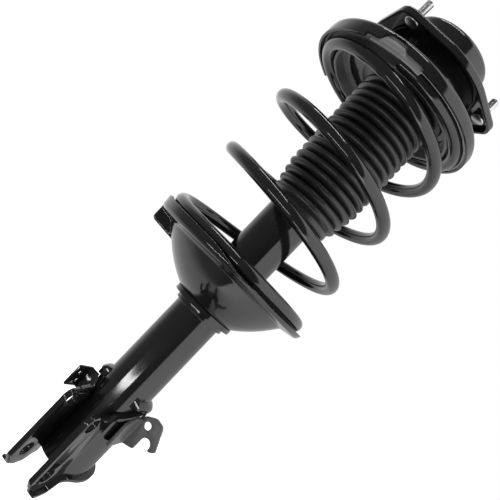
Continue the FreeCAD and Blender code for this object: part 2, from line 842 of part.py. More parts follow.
def base_valve():
    """Foot valve body between the cylinder and the tube's closed end."""
    foot = tube_bottom + 1 + base_cup_t
    spigot_r = cylinder_bore_r - press_gap
    flange_r = cylinder_bore_r + cylinder_wall
    body = spin([(piston_port_r * 2, cylinder_bottom + foot_valve_spigot),
                 (spigot_r, cylinder_bottom + foot_valve_spigot), (spigot_r, cylinder_bottom),
                 (flange_r, cylinder_bottom), (flange_r, foot), (flange_r - 3, foot),
                 (flange_r - 3, cylinder_bottom - 3), (piston_port_r * 2, cylinder_bottom - 3)])
    ports = port_ring(foot_port_count, foot_port_r, 9.0, cylinder_bottom - 4,
                      cylinder_bottom + foot_valve_h)
    side = Part.makeCylinder(2.5, 4 * flange_r, Vec(-2 * flange_r, 0, foot + 3.5), Vec(1, 0, 0))
    return body.cut(ports).cut(side)


def shims(top, inner_r, outer_r):
    """Stack of thin valve discs."""
    return Part.Compound([ring(inner_r, outer_r, top - (i + 1) * shim_t, top - i * shim_t)
                          for i in range(shim_count)])


def base_valve_discs():
    return shims(cylinder_bottom + foot_valve_spigot + shim_count * shim_t, piston_port_r * 2, shim_r)


def base_valve_rivet():
    """Rivet that holds the foot valve's discs."""
    shank_r = piston_port_r * 2 - press_gap
    disc_top = cylinder_bottom + foot_valve_spigot + shim_count * shim_t
    under = cylinder_bottom - 3
    head_r = 2 * shank_r
    return spin([(0, disc_top + 2), (head_r, disc_top + 2, 1), (head_r, disc_top), (shank_r, disc_top),
                 (shank_r, under), (head_r, under), (head_r, under - 2), (0, under - 2)])


def base_cup():
    """Pressed cap welded into the tube's lower end."""
    out_r = tube_in_r - press_gap
    low = tube_bottom + 1
    return spin([(0, low), (out_r, low, 2), (out_r, low + base_cup_h), (out_r - 2, low + base_cup_h),
                 (out_r - 2, low + base_cup_t, 1), (0, low + base_cup_t)])


def rebound_cushion():
    return ring(rod_r + press_gap, rebound_stop_r - 0.5, stop_top, stop_top + rebound_cushion_h)


def rebound_stop():
    return ring(rod_r + press_gap, rebound_stop_r, stop_top - rebound_stop_h, stop_top)


def piston():
    """Piston with ports and a land for its band."""
    band = (piston_h - piston_ring_h) / 2
    edge_r = piston_r + 0.3
    in_r = piston_stem_r + press_gap
    body = spin([(in_r, piston_top), (edge_r, piston_top), (edge_r, piston_top - band),
                 (piston_r, piston_top - band), (piston_r, piston_bottom + band),
                 (edge_r, piston_bottom + band), (edge_r, piston_bottom), (in_r, piston_bottom)])
    return body.cut(port_ring(8, piston_port_r, 9.5, piston_bottom - 1, piston_top + 1))


def piston_ring():
    band = (piston_h - piston_ring_h) / 2 + press_gap
    in_r = piston_r + press_gap / 2
    return ring(in_r, cylinder_bore_r - press_gap, piston_bottom + band, piston_top - band)


def compression_discs():
    return shims(piston_top + shim_count * shim_t, piston_stem_r + press_gap, shim_r)


def rebound_discs():
    return shims(piston_bottom, piston_stem_r + press_gap, shim_r)


def piston_nut():
    high = piston_bottom - shim_count * shim_t
    return hex_nut(piston_nut_flats, piston_stem_r + press_gap, high - piston_nut_h, high)


# Lower spring seat

seam_angle = coil_end_angle % 360 + 4
ramp_from = seam_angle + 90


def seat_floor(angle):
    """Height of the channel floor under the wire's centre; the last turns of the wire follow it."""
    last_turn = coil_end_angle + 4 - 360 + max(angle, ramp_from) - seam_angle
    return wire_height(last_turn) - wire_r - rest_gap - pad_t


def rim_height(angle):
    """Top of the seat's outer wall: high on the left, low on the right."""
    knots = [(seam_angle, rim_high), (seam_angle + 77, rim_slope_end), (seam_angle + 95, rim_low + 1.5),
             (seam_angle + 120, rim_low), (seam_angle + 270, rim_low), (seam_angle + 337, rim_high),
             (seam_angle + 360, rim_high)]
    for (a0, h0), (a1, h1) in zip(knots, knots[1:]):
        if angle <= a1:
            return h0 + (h1 - h0) * (angle - a0) / (a1 - a0)
    return rim_high


def from_spring_axis(radius, angle):
    """Distance from the spring axis, along a turn angle, to a circle about the tube."""
    ahead = polar(1.0, angle)
    along = SPRING.dot(ahead)
    return math.sqrt(radius ** 2 - SPRING.dot(SPRING) + along ** 2) - along


def flank_arc(foot, head):
    """Crown of the bowl's flank arc between two (radius, height) points."""
    chord = math.hypot(head[0] - foot[0], head[1] - foot[1])
    bulge = flank_bend - math.sqrt(flank_bend ** 2 - chord ** 2 / 4)
    out = ((head[1] - foot[1]) / chord, -(head[0] - foot[0]) / chord)
    return ((foot[0] + head[0]) / 2 + out[0] * bulge, (foot[1] + head[1]) / 2 + out[1] * bulge)


def shoulder(angle, drop):
    """Point of the bowl's flank, as radius and height, where the channel floor starts."""
    foot = (from_spring_axis(bowl_floor_r, angle), bowl_bottom)
    head = (flank_shoulder_r, seat_floor(ramp_from) - flank_shoulder_drop)
    crown = flank_arc(foot, head)
    chord = math.hypot(head[0] - foot[0], head[1] - foot[1])
    out = ((head[1] - foot[1]) / chord, -(head[0] - foot[0]) / chord)
    centre = (crown[0] - out[0] * flank_bend, crown[1] - out[1] * flank_bend)
    z = seat_floor(angle) - flank_shoulder_drop - drop
    return (centre[0] + math.sqrt(flank_bend ** 2 - (z - centre[1]) ** 2), z)


def seat_section(angle):
    """Closed sheet section of the seat in the vertical plane at a turn angle about the spring axis."""
    floor = seat_floor(angle)
    top = rim_height(angle)
    hub = from_spring_axis(wrap_in_r, angle)
    foot = (from_spring_axis(bowl_floor_r, angle), bowl_bottom)
    head = shoulder(angle, 0.0)
    crown = flank_arc(foot, head)
    under = [(hub, bowl_bottom), foot, head, (channel_corner_r, head[1] + channel_rise),
             (rim_foot_r, head[1] + rim_foot_rise), (rim_r, top)]
    slope = math.atan2(head[1] - foot[1], head[0] - foot[0])
    lift = (-math.sin(slope) * bowl_t, math.cos(slope) * bowl_t)
    foot_in = (foot[0] - 0.4 * bowl_t, foot[1] + bowl_t)
    head_in = (head[0] - 0.5 * bowl_t, head[1] + bowl_t)
    crown_in = (crown[0] + lift[0], crown[1] + lift[1])
    inner = [(rim_r - bowl_t, top), (rim_foot_r - bowl_t, head[1] + rim_foot_rise + 0.4 * bowl_t),
             (channel_corner_r - 0.7 * bowl_t, head[1] + channel_rise + bowl_t), head_in]

    def at(spot):
        return polar(spot[0], angle, spot[1], SPRING)

    def lines(spots):
        return [Part.LineSegment(at(a), at(b)).toShape() for a, b in zip(spots, spots[1:])]

    edges = lines(under[:2])
    edges.append(Part.Arc(at(foot), at(crown), at(head)).toShape())
    edges += lines(under[2:] + inner)
    edges.append(Part.Arc(at(head_in), at(crown_in), at(foot_in)).toShape())
    edges += lines([foot_in, (hub, bowl_bottom + bowl_t), under[0]])
    return Part.Wire(edges)


def lower_spring_seat():
    """Seat lofted round the spring axis in two halves, with the end wall of the wire's pocket."""
    half = int(180 / rim_station)
    halves = []
    for start in (seam_angle, seam_angle + 180):
        sections = [seat_section(start + i * rim_station) for i in range(half + 1)]
        halves.append(Part.makeLoft(sections, True, False))
    shallow_floor = seat_floor(seam_angle)
    deep_floor = seat_floor(seam_angle + 360)
    deep = shoulder(seam_angle + 360, 0.0)
    shallow = shoulder(seam_angle, 0.0)
    corners = [(deep[0] - 0.5, deep[1] + 0.5), (channel_corner_r, deep[1] + channel_rise + 0.5),
               (rim_foot_r - 0.5, deep_floor), (rim_r - 0.7, shallow_floor),
               (shallow[0] - 1, shallow[1] + 1)]
    end_wall = spin(corners, SPRING, seam_angle - 0.8, 1.6)
    return halves[0].fuse([halves[1], end_wall]).removeSplitter()


def lower_spring_pad():
    """Rubber strip between the channel floor and the wire's last turn."""
    sections = []
    first = ramp_from + 15
    last = seam_angle + 360 - 6
    steps = 16
    for i in range(steps + 1):
        angle = first + (last - first) * i / steps
        head = shoulder(angle, 0.0)
        base = head[1] + bowl_t + press_gap
        slope = channel_rise / (channel_corner_r - head[0])
        top = seat_floor(angle) + pad_t
        corners = [(pad_inner_r, base + slope * (pad_inner_r - head[0]) + 0.35),
                   (pad_outer_r, base + slope * (pad_outer_r - head[0]) + 0.35), (pad_outer_r, top),
                   (pad_inner_r, top)]
        points = [polar(r, angle, z, SPRING) for r, z in corners]
        sections.append(Part.makePolygon(points + points[:1]))
    return Part.makeLoft(sections, True, False)


def seat_collar():
    """Stepped collar that carries the bowl on the tube."""
    in_r = tube_r + press_gap
    step = bowl_bottom - collar_ring_h
    low = bowl_bottom - collar_sleeve_h
    return spin([(in_r, bowl_bottom), (collar_ring_r, bowl_bottom), (collar_ring_r, step),
                 (collar_sleeve_r, step), (collar_sleeve_r, low, 1), (in_r, low)])


# Knuckle bracket

def bracket_plan(grow, z):
    """Plan outline of the sheet: a wrap round the tube, reverse bends and two ears."""
    mean_x = (ear_sheet_x + ear_outer_x) / 2
    mean_r = (wrap_in_r + wrap_out_r) / 2
    bend_x = mean_x + ear_bend_r
    bend_y = -math.sqrt((mean_r + ear_bend_r) ** 2 - bend_x ** 2)
    away = Vec(bend_x, bend_y, 0).normalize()

    def side(wrap_r, ear_x, bend_r):
        """Right half of one face of the sheet, from the ear's front to the back of the wrap."""
        front = Vec(ear_x, ear_front, z)
        bend_start = Vec(ear_x, bend_y, z)
        bend_end = Vec(away.x * wrap_r, away.y * wrap_r, z)
        centre = Vec(bend_x, bend_y, z)
        middle = (bend_start - centre).normalize() + (bend_end - centre).normalize()
        crown = centre + middle.normalize() * bend_r
        return front, bend_start, crown, bend_end

    def face_path(wrap_r, ear_x, bend_r):
        """Edges of one face of the sheet, from the right ear round the back to the left ear."""
        front, bend_start, crown, bend_end = side(wrap_r, ear_x, bend_r)

        def mirror(p):
            return Vec(-p.x, p.y, p.z)

        return [Part.LineSegment(front, bend_start).toShape(),
                Part.Arc(bend_start, crown, bend_end).toShape(),
                Part.Arc(bend_end, Vec(0, wrap_r, z), mirror(bend_end)).toShape(),
                Part.Arc(mirror(bend_end), mirror(crown), mirror(bend_start)).toShape(),
                Part.LineSegment(mirror(bend_start), mirror(front)).toShape()]

    half_t = bracket_t / 2
    outer = face_path(wrap_out_r + grow, ear_outer_x + grow, ear_bend_r - half_t - grow)
    inner = face_path(wrap_in_r, ear_sheet_x, ear_bend_r + half_t)
    ends = []
    for side_x in (1, -1):
        tip_in = Vec(side_x * ear_sheet_x, ear_front, z)
        tip_out = Vec(side_x * (ear_outer_x + grow), ear_front, z)
        ends.append(Part.LineSegment(tip_in, tip_out).toShape())
    return Part.Wire(Part.__sortEdges__(outer + inner + ends))


def lower_edge(raise_by=0.0):
    """Lower edge of the bracket from the ear's front to the back, as Y and Z corners."""
    corners = [(ear_front, lower_bolt_z - 9, 4), (ear_front + 9, lower_bolt_z - 19.5, 5),
               (lower_bolt_y, lower_bolt_z - 20.5, 8), (lower_bolt_y + 13, lower_bolt_z - 17, 8),
               (lower_bolt_y + 25, lower_bolt_z - 1, 10), (1.5, lower_bolt_z + 3, 10),
               (11, lower_bolt_z + 5, 10), (wrap_out_r + 8, lower_bolt_z + 9)]
    return [(c[0], c[1] + raise_by) + tuple(c[2:]) for c in corners]


def upper_edge():
    """Upper edge of the bracket from the back to the ear's front, as Y and Z corners."""
    ear_top = upper_bolt_z + ear_crown
    return [(wrap_out_r + 8, bracket_top), (upper_bolt_y + 42, bracket_top, 6),
            (upper_bolt_y + 26, ear_top + 3, 10), (upper_bolt_y + 12, ear_top, 10),
            (ear_front, ear_top, ear_corner_r)]


def ear_profile():
    """Side outline of the bracket."""
    return upper_edge() + lower_edge()


def hem_outline():
    """Side outline of the outward hem, which follows the lower edge from the ear's tip to the back."""
    low = lower_edge()[1:]
    high = lower_edge(hem_t)[1:]
    return [low[0][:2]] + low[1:] + high[:0:-1] + [high[0][:2]]


def top_hem_outline():
    """Side outline of the outward hem under the upper edge, tapered out along the ear."""
    bend, dip, ear = [c[:2] for c in upper_edge()[1:4]]
    back = (hose_plate_back - hose_t - top_hem_gap, bracket_top)
    tip = (upper_bolt_y, ear[1])
    under = [(y, z - hem_t) for y, z in (ear, dip, bend, back)]
    return [back, bend, dip, ear, tip] + under


def bracket_lip():
    """Rolled lip round the tube at the bracket's top, open in front."""
    lip = spin([(wrap_in_r, lip_top), (wrap_in_r + 4, lip_top - 1.5, 2.5),
                (lip_r, lip_top - 0.45 * lip_h, 3), (lip_r - 0.5, lip_top - 0.75 * lip_h, 1.5),
                (wrap_out_r, lip_top - lip_h), (wrap_in_r, lip_top - lip_h)])
    corner = Vec(-2 * lip_r, lip_front - 2 * lip_r, lip_top - 1.5 * lip_h)
    mouth = Part.makeBox(4 * lip_r, 2 * lip_r, 2 * lip_h, corner)
    return lip.cut(mouth)


def knuckle_bracket():
    """Wrap and ears cut to their side outline, with the rolled lip above and the hem below."""
    floor = lower_bolt_z - 2 * ear_crown - ear_corner_r
    depth = bracket_top - floor
    reach = wrap_out_r + 2 * hem_reach
    sheet = Part.Face(bracket_plan(0.0, floor)).extrude(Vec(0, 0, depth))
    sheet = sheet.common(slab_x(ear_profile(), -reach, reach))
    wide = Part.Face(bracket_plan(hem_reach, floor)).extrude(Vec(0, 0, depth))
    hem = wide.common(slab_x(hem_outline(), -reach, reach))
    brim = Part.Face(bracket_plan(top_hem_reach, floor)).extrude(Vec(0, 0, depth))
    brim = brim.common(slab_x(top_hem_outline(), -reach, reach))
    leg_room = Part.makeBox(reach, wire_t + 2 * top_hem_gap, depth,
                            Vec(-reach, wire_back - wire_t - top_hem_gap, floor))
    brim = brim.cut(leg_room)
    body = sheet.fuse([hem, brim, bracket_lip()]).removeSplitter()
    for y, z in bolt_places():
        body = body.cut(bolt_hole(bolt_r, y, z, 2 * reach))
    return body


def bolt_places():
    """Y and Z of the two knuckle bolts."""
    return [(upper_bolt_y, upper_bolt_z), (lower_bolt_y, lower_bolt_z)]


def ear_stiffener(side):
    """Flat plate inside one ear; side is 1 for the right ear and -1 for the left."""
    ear_top = upper_bolt_z + ear_crown - 1
    back = -math.sqrt(wrap_in_r ** 2 - ear_inner_x ** 2) - 2
    corners = [(back, ear_top, 3), (ear_front, ear_top, ear_corner_r), (ear_front, lower_bolt_z - 8, 4),
               (ear_front + 9, lower_bolt_z - 17.5, 5), (lower_bolt_y, lower_bolt_z - 18.5, 8),
               (lower_bolt_y + 12, lower_bolt_z - 15, 8), (lower_bolt_y + 17, lower_bolt_z - 8, 3),
               (back, lower_bolt_z - 4, 2)]
    low, high = sorted((side * ear_inner_x, side * ear_sheet_x))
    plate = slab_x(corners, low, high)
    for y, z in bolt_places():
        plate = plate.cut(bolt_hole(bolt_r, y, z, ear_outer_x))
    return plate


def hose_plate_outline(flange_x):
    """X and Z outline of the plate with the hole and the slot, whose inner wall runs down to the corner."""
    slot_wall = hose_slot_x - hose_slot_r
    return [(flange_x, hose_flange_top), (flange_x + hose_t + 1.2, hose_top - 5.7),
            (hose_slot_x - 8, hose_top - 0.4, 6), (hose_slot_x + 2, hose_top - 1.5, 6),
            (hose_tip_x, hose_tip_z, 2), (hose_tip_x - 4.8, hose_tip_z - 3.8, 2),
            (slot_wall, hose_tip_z - 3.8), (slot_wall, hose_corner_z, 2), (flange_x, hose_fold_bottom)]


def hose_bracket():
    """Angle plate with a bolt hole and an open slot for the hose clip."""
    flange_x = wrap_out_r + rest_gap
    fold_x = flange_x + hose_t
    plate_front = hose_plate_back - hose_t
    flange = slab_x([(hose_flange_front, hose_flange_top - hose_flange_dip, 2),
                     (hose_flange_front + hose_flange_dip + 1, hose_flange_top), (hose_plate_back, hose_flange_top),
                     (hose_plate_back, hose_fold_bottom),
                     (hose_flange_front + 6, hose_flange_bottom + 1, 3),
                     (hose_flange_front, hose_flange_bottom, 2)], flange_x, fold_x)
    plate = slab_y(hose_plate_outline(flange_x), plate_front, hose_plate_back)
    cut_from = plate_front - hose_t
    slot = Part.makeCylinder(hose_slot_r, 4 * hose_t, Vec(hose_slot_x, cut_from, hose_slot_z), Vec(0, 1, 0))
    mouth = Part.makeBox(2 * hose_slot_r, 4 * hose_t, hose_slot_r,
                         Vec(hose_slot_x - hose_slot_r, cut_from, hose_slot_z - hose_slot_r))
    hole = Part.makeCylinder(hose_hole_r, 4 * hose_t, Vec(hose_hole_x, cut_from, hose_hole_z), Vec(0, 1, 0))
    body = flange.fuse(plate).removeSplitter()
    middle = Vec(fold_x, plate_front, (hose_flange_top + hose_fold_bottom) / 2)
    fold = [edge for edge in body.Edges if edge.distToShape(Part.Vertex(middle))[0] < 0.01]
    return body.makeFillet(2.0, fold).cut(slot).cut(mouth).cut(hole)


def wire_bracket():
    """Stand-off tab with two clip holes on the left flank."""
    plate = slab_x([(wire_front, wire_bottom, 2), (wire_back, wire_bottom), (wire_back, wire_top),
                    (wire_front, wire_top, 2)], wire_plate_x, wire_plate_x + wire_t)
    flank_x = -math.sqrt((wrap_out_r + rest_gap) ** 2 - wire_back ** 2)
    leg = slab_y([(wire_plate_x, wire_bottom), (flank_x, wire_bottom), (flank_x, wire_top),
                  (wire_plate_x, wire_top)], wire_back - wire_t, wire_back)
    body = plate.fuse(leg).removeSplitter()
    for y, z in ((wire_front + 9.5, wire_hole_high), (wire_front + 15, wire_hole_low)):
        start = Vec(wire_plate_x - wire_t, y, z)
        body = body.cut(Part.makeCylinder(wire_hole_r, 4 * wire_t, start, Vec(1, 0, 0)))
    return body


PIECES = {
    "mount_plate": mount_plate, "mount_studs": mount_studs, "mount_housing": mount_housing,
    "mount_lower_cup": mount_lower_cup, "mount_rubber": mount_rubber, "dust_cap": dust_cap,
    "bearing_carrier": bearing_carrier, "bearing_outer_race": bearing_outer_race,
    "bearing_inner_race": bearing_inner_race, "bearing_balls": bearing_balls, "bearing_cage": bearing_cage,
    "piston_rod": piston_rod, "rod_washer": rod_washer, "rod_nut": rod_nut,
    "support_spacer": support_spacer, "bumper_cup": bumper_cup, "jounce_bumper": jounce_bumper,
    "upper_spring_seat": upper_spring_seat,
    "upper_spring_insulator": upper_spring_insulator, "coil_spring": coil_spring, "dust_boot": dust_boot,
    "rebound_cushion": rebound_cushion, "rebound_stop": rebound_stop, "piston": piston,
    "piston_ring": piston_ring, "compression_discs": compression_discs, "rebound_discs": rebound_discs,
    "piston_nut": piston_nut, "reservoir_tube": reservoir_tube, "tube_cap": tube_cap, "rod_seal": rod_seal,
    "rod_guide": rod_guide, "guide_bush": guide_bush, "inner_cylinder": inner_cylinder,
    "base_valve": base_valve, "base_valve_discs": base_valve_discs, "base_valve_rivet": base_valve_rivet,
    "base_cup": base_cup, "lower_spring_seat": lower_spring_seat, "lower_spring_pad": lower_spring_pad,
    "seat_collar": seat_collar, "knuckle_bracket": knuckle_bracket, "hose_bracket": hose_bracket,
    "wire_bracket": wire_bracket,
}

for name, build in PIECES.items():
    export(name, build())
export("ear_stiffener_right", ear_stiffener(1))
export("ear_stiffener_left", ear_stiffener(-1))
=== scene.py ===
# %% [markdown]
# # A suspension strut, dressed in Blender
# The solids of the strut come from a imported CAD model. This lesson keeps the ones whose shape is right,
# rounds their pressed edges, and builds the soft and wound pieces again as smooth meshes: the spring,
# the ribbed boot, the rubber seats and the threaded studs. Everything is in metres, +Z runs up the rod.

# %% The frame
import json
import math

import bmesh
import bpy
from mathutils import Matrix, Vector

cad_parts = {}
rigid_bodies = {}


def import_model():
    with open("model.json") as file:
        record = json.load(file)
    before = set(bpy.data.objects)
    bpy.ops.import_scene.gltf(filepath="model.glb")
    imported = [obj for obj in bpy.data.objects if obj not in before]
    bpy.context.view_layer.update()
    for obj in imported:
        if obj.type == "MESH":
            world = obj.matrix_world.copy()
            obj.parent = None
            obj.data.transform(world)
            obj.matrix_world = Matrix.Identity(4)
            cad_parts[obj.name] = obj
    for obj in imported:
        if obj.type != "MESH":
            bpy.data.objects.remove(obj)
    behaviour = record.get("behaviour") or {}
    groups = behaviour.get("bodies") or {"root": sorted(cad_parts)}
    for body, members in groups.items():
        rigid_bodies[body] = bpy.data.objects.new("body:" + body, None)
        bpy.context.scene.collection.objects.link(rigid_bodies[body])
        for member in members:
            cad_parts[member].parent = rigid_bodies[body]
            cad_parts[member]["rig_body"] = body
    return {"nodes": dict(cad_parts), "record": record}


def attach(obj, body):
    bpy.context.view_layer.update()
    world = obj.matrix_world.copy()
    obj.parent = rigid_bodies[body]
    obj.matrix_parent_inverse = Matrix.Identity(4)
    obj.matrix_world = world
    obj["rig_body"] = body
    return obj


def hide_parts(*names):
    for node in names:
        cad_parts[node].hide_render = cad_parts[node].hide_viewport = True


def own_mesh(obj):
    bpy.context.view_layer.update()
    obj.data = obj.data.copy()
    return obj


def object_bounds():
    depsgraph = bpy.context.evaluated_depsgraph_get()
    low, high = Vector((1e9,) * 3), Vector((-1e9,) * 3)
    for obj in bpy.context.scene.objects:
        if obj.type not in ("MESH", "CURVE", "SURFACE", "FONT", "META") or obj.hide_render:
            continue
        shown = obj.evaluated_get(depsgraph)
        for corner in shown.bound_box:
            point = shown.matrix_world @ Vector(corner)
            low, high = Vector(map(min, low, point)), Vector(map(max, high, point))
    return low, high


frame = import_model()
cad_low, cad_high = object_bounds()
nodes = frame["nodes"]
MM = 0.001
UP = Vector((0, 0, 1))

# %% [markdown]
# ## Shader maths in Python
# A material is a small program. A wrapped socket with overloaded operators lets the program be written
# as an expression, so that `0.2 + grain * 0.1` adds its own Math nodes. Every other node comes from one
# method that sets the node first and then its sockets.

# %% Wrapped sockets
class Wire:
    """One output socket that takes part in Python expressions."""

    def __init__(self, finish, socket):
        self.finish = finish
        self.socket = socket

    def maths(self, operation, first, second=0.0):
        return self.finish.add("ShaderNodeMath", {"operation": operation}, {0: first, 1: second})

    def __add__(self, other):
        return self.maths("ADD", self, other)

    def __sub__(self, other):
        return self.maths("SUBTRACT", self, other)

    def __rsub__(self, other):
        return self.maths("SUBTRACT", other, self)

    def __mul__(self, other):
        return self.maths("MULTIPLY", self, other)

    __radd__ = __add__


class Finish:
    """A node tree being built: a material, or the world."""

    def __init__(self, tree):
        self.tree = tree

    def add(self, kind, settings, sockets, output=0):
        """New node: its settings first, then the values or links of its sockets."""
        node = self.tree.nodes.new(kind)
        for name, value in settings.items():
            if name == "stops":
                self.stops(node.color_ramp, value)
            else:
                setattr(node, name, value)
        self.feed(node, sockets)
        return Wire(self, node.outputs[output])

    def feed(self, node, sockets):
        for name, value in sockets.items():
            if isinstance(value, Wire):
                self.tree.links.new(value.socket, node.inputs[name])
            else:
                node.inputs[name].default_value = value

    def stops(self, ramp, stops):
        while len(ramp.elements) < len(stops):
            ramp.elements.new(1.0)
        for element, (place, shade) in zip(ramp.elements, stops):
            element.position = place
            element.color = (shade, shade, shade, 1.0)

    def mix(self, share, first, second):
        """Colour between two colours."""
        return self.add("ShaderNodeMix", {"data_type": "RGBA"}, {0: share, 6: first, 7: second}, 2)

    def noise(self, scale, detail=3.0):
        """Noise on the object's own coordinates; scale is in patches per metre."""
        place = self.add("ShaderNodeTexCoord", {}, {}, 3)
        return self.add("ShaderNodeTexNoise", {}, {"Vector": place, "Scale": scale, "Detail": detail})


print("shader maths ready")

# %% [markdown]
# ## Finishes
# Nearly every finish here is one surface with small changes in it: paint has an orange peel and a few
# duller patches, rubber has a fine grain, zinc is cloudy. One function therefore makes them all, and
# each finish names how rough it is, how much that changes, and the size and depth of its grain.

# %% Materials
def grey(value, tint=0.0):
    """Linear grey, a little blue or warm."""
    return (value * (1 - tint), value, value * (1 + tint), 1.0)


def surface(name, dark, light, rough, rough_change, grain, depth, metal=0.0, clouds=60.0):
    """Material between two colours, with cloudy roughness and a fine grain."""
    material = bpy.data.materials.new(name)
    material.use_nodes = True
    finish = Finish(material.node_tree)
    shader = material.node_tree.nodes["Principled BSDF"]
    cloud = finish.noise(clouds)
    peel = finish.noise(grain, 2.0)
    bump = finish.add("ShaderNodeBump", {}, {"Height": peel, "Distance": depth, "Strength": 0.5})
    finish.feed(shader, {"Base Color": finish.mix(cloud, dark, light), "Metallic": metal, "Normal": bump,
                         "Roughness": rough + (cloud - 0.5) * rough_change})
    return material


materials = {
    "black_gloss_paint": surface("black gloss paint", grey(0.008), grey(0.014), 0.09, 0.06, 500.0, 3e-6),
    "dark_satin_paint": surface("dark satin paint", grey(0.07), grey(0.1), 0.42, 0.12, 900.0, 1e-5),
    "zinc_plate": surface("zinc plate", grey(0.42, 0.02), grey(0.68), 0.3, 0.2, 1500.0, 1e-5, 1.0, 180.0),
    "ground_chrome": surface("ground chrome", grey(0.7), grey(0.76), 0.08, 0.05, 2500.0, 2e-6, 1.0),
    "bearing_steel": surface("bearing steel", grey(0.45), grey(0.55), 0.22, 0.1, 2000.0, 4e-6, 1.0),
    "sintered_steel": surface("sintered steel", grey(0.2), grey(0.28), 0.55, 0.15, 1800.0, 2e-5, 1.0),
    "black_rubber": surface("black rubber", grey(0.012), grey(0.022), 0.36, 0.14, 700.0, 1.5e-5),
    "grey_rubber": surface("grey rubber", grey(0.2), grey(0.27), 0.6, 0.12, 1200.0, 3e-5),
    "bumper_foam": surface("bumper foam", (0.5, 0.45, 0.33, 1), (0.6, 0.54, 0.4, 1), 0.8, 0.1, 1500.0, 5e-5),
    "bush_lining": surface("bush lining", grey(0.15), grey(0.22), 0.5, 0.1, 900.0, 1e-5),
}
slots = {row["node"]: row["material_slot"] for row in frame["record"]["subparts"]}
for name, node in nodes.items():
    node.data.materials.clear()
    node.data.materials.append(materials[slots[name]])
print("finishes:", ", ".join(sorted(materials)))

# %% [markdown]
# ## The sizes that the new pieces share
# These repeat the strut's real dimensions in millimetres. The top mount and the upper seat lean a little
# off the rod, as on the real strut, so a matrix for that lean is made once.

# %% Sizes
mount_lean = math.radians(2.17)
lean_toward = math.radians(61.3)
pan_top = -38.4
coil_r, wire_r = 80.5, 6.5
spring_x, spring_y = -5.2, -3.8
coil_top_z = -52.6
coil_start, coil_end = -84.0, 1636.0
lean_fades_at = 920.0
leads = [(coil_start, 0.0), (138.8, 0.0), (259.9, 68.8), (1279.0, 68.8), (1333.0, 19.8), (2000.0, 19.8)]
lean_axis = Vector((-math.sin(lean_toward), math.cos(lean_toward), 0))


def leaning(height):
    """Matrix of the lean about a point of the rod axis at a height in millimetres."""
    pivot = Matrix.Translation((0, 0, height * MM))
    return pivot @ Matrix.Rotation(mount_lean, 4, lean_axis) @ pivot.inverted()


def lean_height(x, y):
    return -math.tan(mount_lean) * (x * math.cos(lean_toward) + y * math.sin(lean_toward))


print("mount leans", round(math.degrees(mount_lean), 2), "degrees")

# %% [markdown]
# ## Making and dressing a piece
# A piece is a mesh in place, on a body, with a finish. Turned pieces come from a lathe: a profile of
# radius and height pairs, spun about an upright line. Corners are rounded before spinning, because a
# pressed or moulded edge always catches a line of light.

# %% Helpers for pieces
def dress(name, bm, body, slot_name, replaced, smooth_under=50.0):
    """Object from a bmesh, riding on a body, in place of CAD nodes."""
    for face in bm.faces:
        face.smooth = True
    for edge in bm.edges:
        if edge.is_manifold and edge.calc_face_angle(0.0) > math.radians(smooth_under):
            edge.smooth = False
    mesh = bpy.data.meshes.new(name)
    bm.to_mesh(mesh)
    bm.free()
    piece = bpy.data.objects.new(name, mesh)
    bpy.context.scene.collection.objects.link(piece)
    mesh.materials.append(materials[slot_name])
    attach(piece, body)
    if replaced:
        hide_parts(*replaced)
    print(name, len(mesh.polygons), "faces")
    return piece


def rounded(corners, steps=5):
    """Open or closed line through (r, z) or (r, z, bend) corners, with the bends rounded."""
    points = []
    for i, corner in enumerate(corners):
        here = Vector(corner[:2])
        if len(corner) < 3 or not 0 < i < len(corners) - 1:
            points.append(here)
            continue
        before = (Vector(corners[i - 1][:2]) - here).normalized()
        after = (Vector(corners[i + 1][:2]) - here).normalized()
        half = before.angle(after) / 2
        reach = corner[2] / math.tan(half)
        start, end = here + before * reach, here + after * reach
        for k in range(steps + 1):
            t = k / steps
            points.append(start.lerp(here, t).lerp(here.lerp(end, t), t))
    return points


def lathe(bm, profile, axis_at=lambda z: (0.0, 0.0), count=128, closed=False, move=None):
    """Spins a profile in millimetres about an upright line, whose x and y axis_at gives for a height."""
    rings = []
    for r, z in profile:
        x, y = axis_at(z)
        if r < 1e-6:
            rings.append([bm.verts.new((x * MM, y * MM, z * MM))])
            continue
        ring = []
        for k in range(count):
            turn = 2 * math.pi * k / count
            place = (x + r * math.cos(turn), y + r * math.sin(turn), z)
            ring.append(bm.verts.new([value * MM for value in place]))
        rings.append(ring)
    pairs = list(zip(rings, rings[1:])) + ([(rings[-1], rings[0])] if closed else [])
    for low, high in pairs:
        for k in range(count):
            corners = [low[k % len(low)], low[(k + 1) % len(low)],
                       high[(k + 1) % len(high)], high[k % len(high)]]
            unique = list(dict.fromkeys(corners))
            if len(unique) > 2:
                bm.faces.new(unique)
    if move is not None:
        bmesh.ops.transform(bm, matrix=move, verts=[v for ring in rings for v in ring])
    bmesh.ops.recalc_face_normals(bm, faces=bm.faces)


def pressed(name, width, segments=2, sharp_over=26.0):
    """Copy of a CAD solid with rounded edges, in the solid's place."""
    node = nodes[name]
    bm = bmesh.new()
    bm.from_mesh(node.data)
    bmesh.ops.remove_doubles(bm, verts=bm.verts, dist=2e-6)
    bmesh.ops.dissolve_limit(bm, angle_limit=math.radians(0.4), verts=bm.verts, edges=bm.edges)
    edges = [edge for edge in bm.edges
             if edge.is_manifold and edge.calc_face_angle(0.0) > math.radians(sharp_over)]
    bmesh.ops.bevel(bm, geom=edges, offset=width * MM, segments=segments, profile=0.55, affect="EDGES",
                    clamp_overlap=True)
    layer = bm.loops.layers.float_vector.get("custom_normal")
    if layer:
        bm.loops.layers.float_vector.remove(layer)
    return dress(name + "_finished", bm, node["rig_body"], slots[name], [name])


print("helpers ready")

